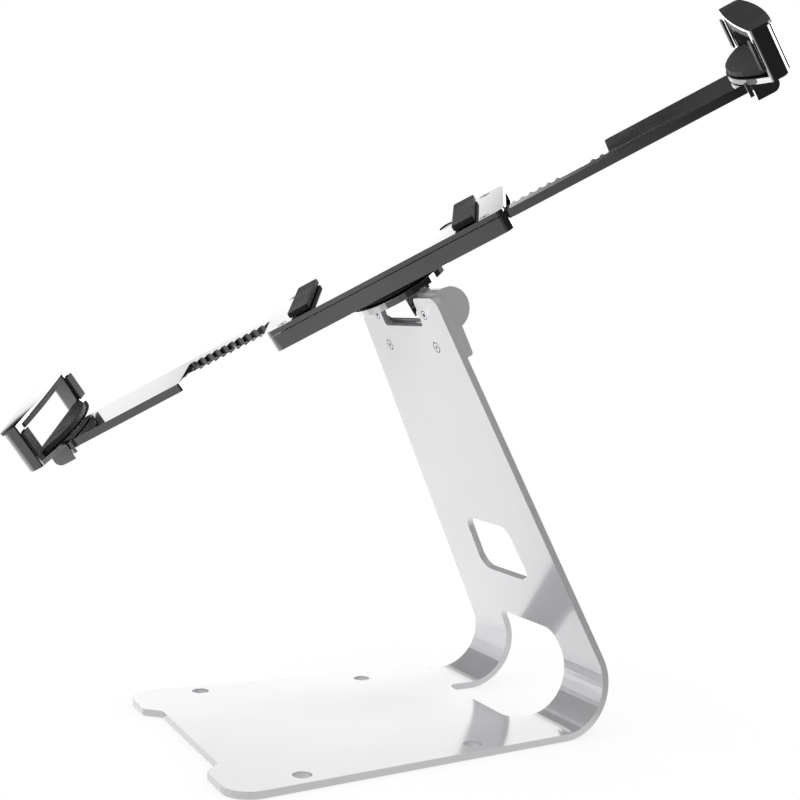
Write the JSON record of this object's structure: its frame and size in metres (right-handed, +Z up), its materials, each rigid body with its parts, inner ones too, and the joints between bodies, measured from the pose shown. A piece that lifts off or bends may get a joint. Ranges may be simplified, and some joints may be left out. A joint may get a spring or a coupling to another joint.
{
  "type": "tablet stand",
  "caption": "Bent sheet-metal tablet stand with a tilting, swivelling head and sliding corner hooks that clasp a tablet across its diagonal.",
  "frame": {"origin": "middle of the pattern of screw holes, on the underside of the foot", "axes": "+Z up; the user sits on the -Y side; +X is the user's right"},
  "size_m": [0.2044, 0.2208, 0.2433],
  "materials": {
    "white_paint": "gloss powder coat",
    "polished_chrome": "mirror polished",
    "black_rubber": "matt",
    "grey_rubber": "matt",
    "zinc_steel": "zinc plated",
    "black_nylon": "matt"
  },
  "bodies": {
    "stand": {"stand_plate": "white_paint", "hinge_bracket": "white_paint", "hinge_pin": "zinc_steel", "bracket_screw_left": "white_paint", "bracket_screw_right": "white_paint", "pin_lock_screw_left": "zinc_steel", "pin_lock_screw_right": "zinc_steel", "friction_washer_left": "black_nylon", "friction_washer_right": "black_nylon"},
    "tilt_head": {"tilt_arm": "polished_chrome", "swivel_washer": "black_nylon", "swivel_bolt": "zinc_steel"},
    "grip": {"grip_channel": "polished_chrome", "grip_cover": "polished_chrome", "centre_pad_upper": "black_rubber", "centre_pad_lower": "black_rubber", "cover_screw_1": "zinc_steel", "cover_screw_2": "zinc_steel", "cover_screw_3": "zinc_steel", "cover_screw_4": "zinc_steel"},
    "adjuster": {"adjuster_gear": "zinc_steel"},
    "upper_jaw": {"grip_bar_upper": "polished_chrome", "grip_hook_upper": "polished_chrome", "bar_clip_upper": "polished_chrome", "cap_pad_upper": "grey_rubber", "foot_pad_upper": "black_rubber", "post_pad_upper_a": "black_rubber", "post_pad_upper_b": "black_rubber", "hook_screw_upper_a": "zinc_steel", "hook_screw_upper_b": "zinc_steel"},
    "lower_jaw": {"grip_bar_lower": "polished_chrome", "grip_hook_lower": "polished_chrome", "bar_clip_lower": "polished_chrome", "cap_pad_lower": "grey_rubber", "foot_pad_lower": "black_rubber", "post_pad_lower_a": "black_rubber", "post_pad_lower_b": "black_rubber", "hook_screw_lower_a": "zinc_steel", "hook_screw_lower_b": "zinc_steel"}
  },
  "joints": [
    {"name": "tilt", "type": "hinge", "parent": "stand", "child": "tilt_head", "pos_m": [0, 0.02673, 0.14076], "axis": [1, 0, 0], "range_deg": [-35, 35]},
    {"name": "swivel", "type": "hinge", "parent": "tilt_head", "child": "grip", "pos_m": [0, 0.02673, 0.14076], "axis": [0, -0.5736, 0.8192], "continuous": true},
    {"name": "upper_slide", "type": "slide", "parent": "grip", "child": "upper_jaw", "axis": [0.5736, 0.671, 0.4698], "range_m": [-0.018, 0.012]},
    {"name": "lower_slide", "type": "slide", "parent": "grip", "child": "lower_jaw", "axis": [-0.5736, -0.671, -0.4698], "range_m": [-0.018, 0.012]},
    {"name": "adjuster_turn", "type": "hinge", "parent": "grip", "child": "adjuster", "pos_m": [0.01377, 0.0336, 0.16522], "axis": [0, -0.5736, 0.8192], "range_deg": [-172, 115]}
  ],
  "couplings": [
    {"joint": "lower_slide", "follows": "upper_slide", "ratio": 1},
    {"joint": "adjuster_turn", "follows": "upper_slide", "rad_per_m": 166.67}
  ]
}
